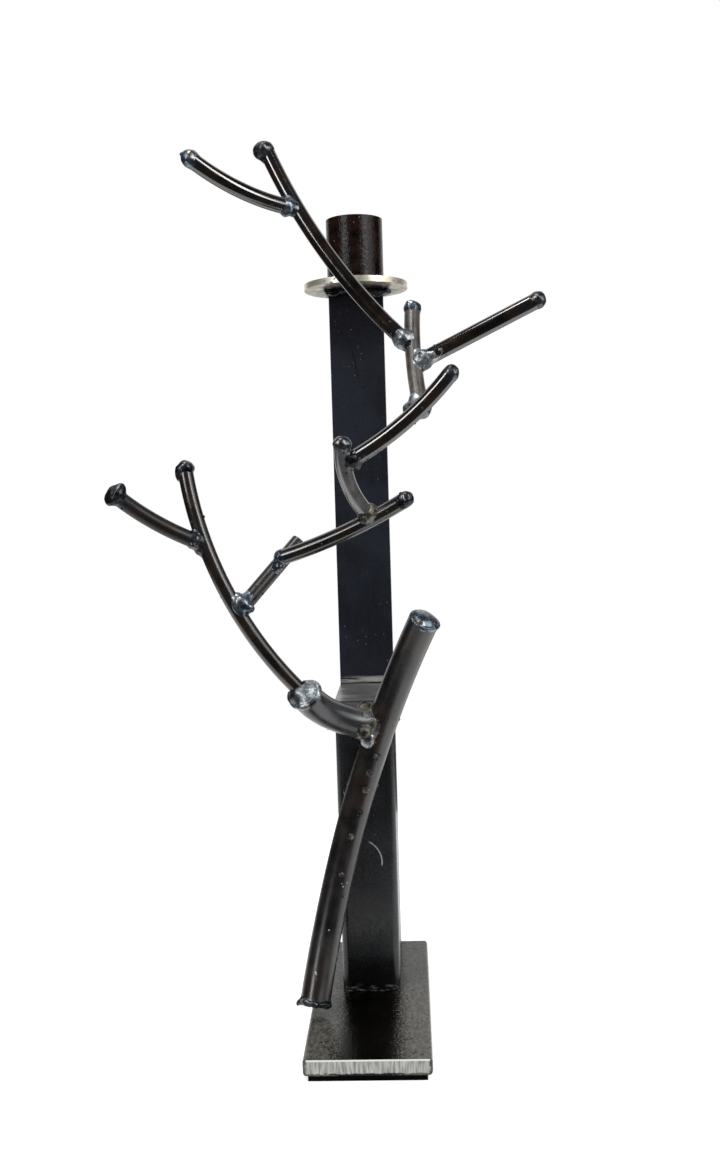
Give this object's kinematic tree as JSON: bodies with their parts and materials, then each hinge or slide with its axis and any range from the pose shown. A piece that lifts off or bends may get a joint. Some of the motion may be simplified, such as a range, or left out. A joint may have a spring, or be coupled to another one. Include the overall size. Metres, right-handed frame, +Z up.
{
  "type": "candlestick",
  "caption": "Welded steel candlestick: flat-bar base, box post, tall bar with drip washer and pipe socket, and a bare branch of bent rods on the front.",
  "frame": {"origin": "middle of the pad's underside, on the table", "axes": "+Z up, the front with the branch faces -Y, +X to the viewer's right"},
  "size_m": [0.1743, 0.1461, 0.3727],
  "materials": {
    "pad_rubber": "matt black sheet",
    "base_steel": "clear-coated dark mill scale with pits",
    "post_steel": "clear-coated black mill scale",
    "ground_steel": "ground bare",
    "bar_steel": "clear-coated blue-black mill scale",
    "plated_steel": "zinc plated, heat tinted",
    "socket_steel": "clear-coated black",
    "trunk_steel": "clear-coated charcoal scale",
    "twig_steel": "clear-coated charcoal scale with brown heat tint",
    "bare_twig_steel": "brushed bare under clear coat",
    "weld_metal": "shiny weld beads with heat tint"
  },
  "bodies": {
    "root": {"base_pad": "pad_rubber", "base_plate": "base_steel", "plug_welds": "weld_metal", "lower_post": "post_steel", "post_cap": "ground_steel", "tall_bar": "bar_steel", "seam_welds": "weld_metal", "drip_washer": "plated_steel", "washer_weld": "weld_metal", "candle_socket": "socket_steel", "socket_weld": "weld_metal", "trunk": "trunk_steel", "trunk_weld": "weld_metal", "trunk_foot_bead": "weld_metal", "trunk_top_cap": "weld_metal", "fork_stub": "trunk_steel", "fork_stub_weld": "weld_metal", "fork_stub_cap": "weld_metal", "left_limb": "twig_steel", "left_limb_weld": "weld_metal", "left_limb_tip": "weld_metal", "left_twig": "twig_steel", "left_twig_weld": "weld_metal", "left_twig_tip": "weld_metal", "inner_short_rod": "twig_steel", "inner_short_rod_weld": "weld_metal", "inner_long_rod": "twig_steel", "inner_long_rod_weld": "weld_metal", "inner_long_rod_tip": "weld_metal", "curved_twig": "bare_twig_steel", "curved_twig_weld": "weld_metal", "curved_twig_tip": "weld_metal", "upper_rod": "twig_steel", "upper_rod_weld": "weld_metal", "upper_rod_tip": "weld_metal", "upright_twig": "bare_twig_steel", "upright_twig_weld": "weld_metal", "upright_twig_tip": "weld_metal", "right_twig": "twig_steel", "right_twig_weld": "weld_metal", "right_twig_tip": "weld_metal", "top_rod": "twig_steel", "top_rod_weld": "weld_metal", "top_rod_tip": "weld_metal", "top_twig": "twig_steel", "top_twig_weld": "weld_metal", "top_twig_tip": "weld_metal"}
  },
  "joints": []
}
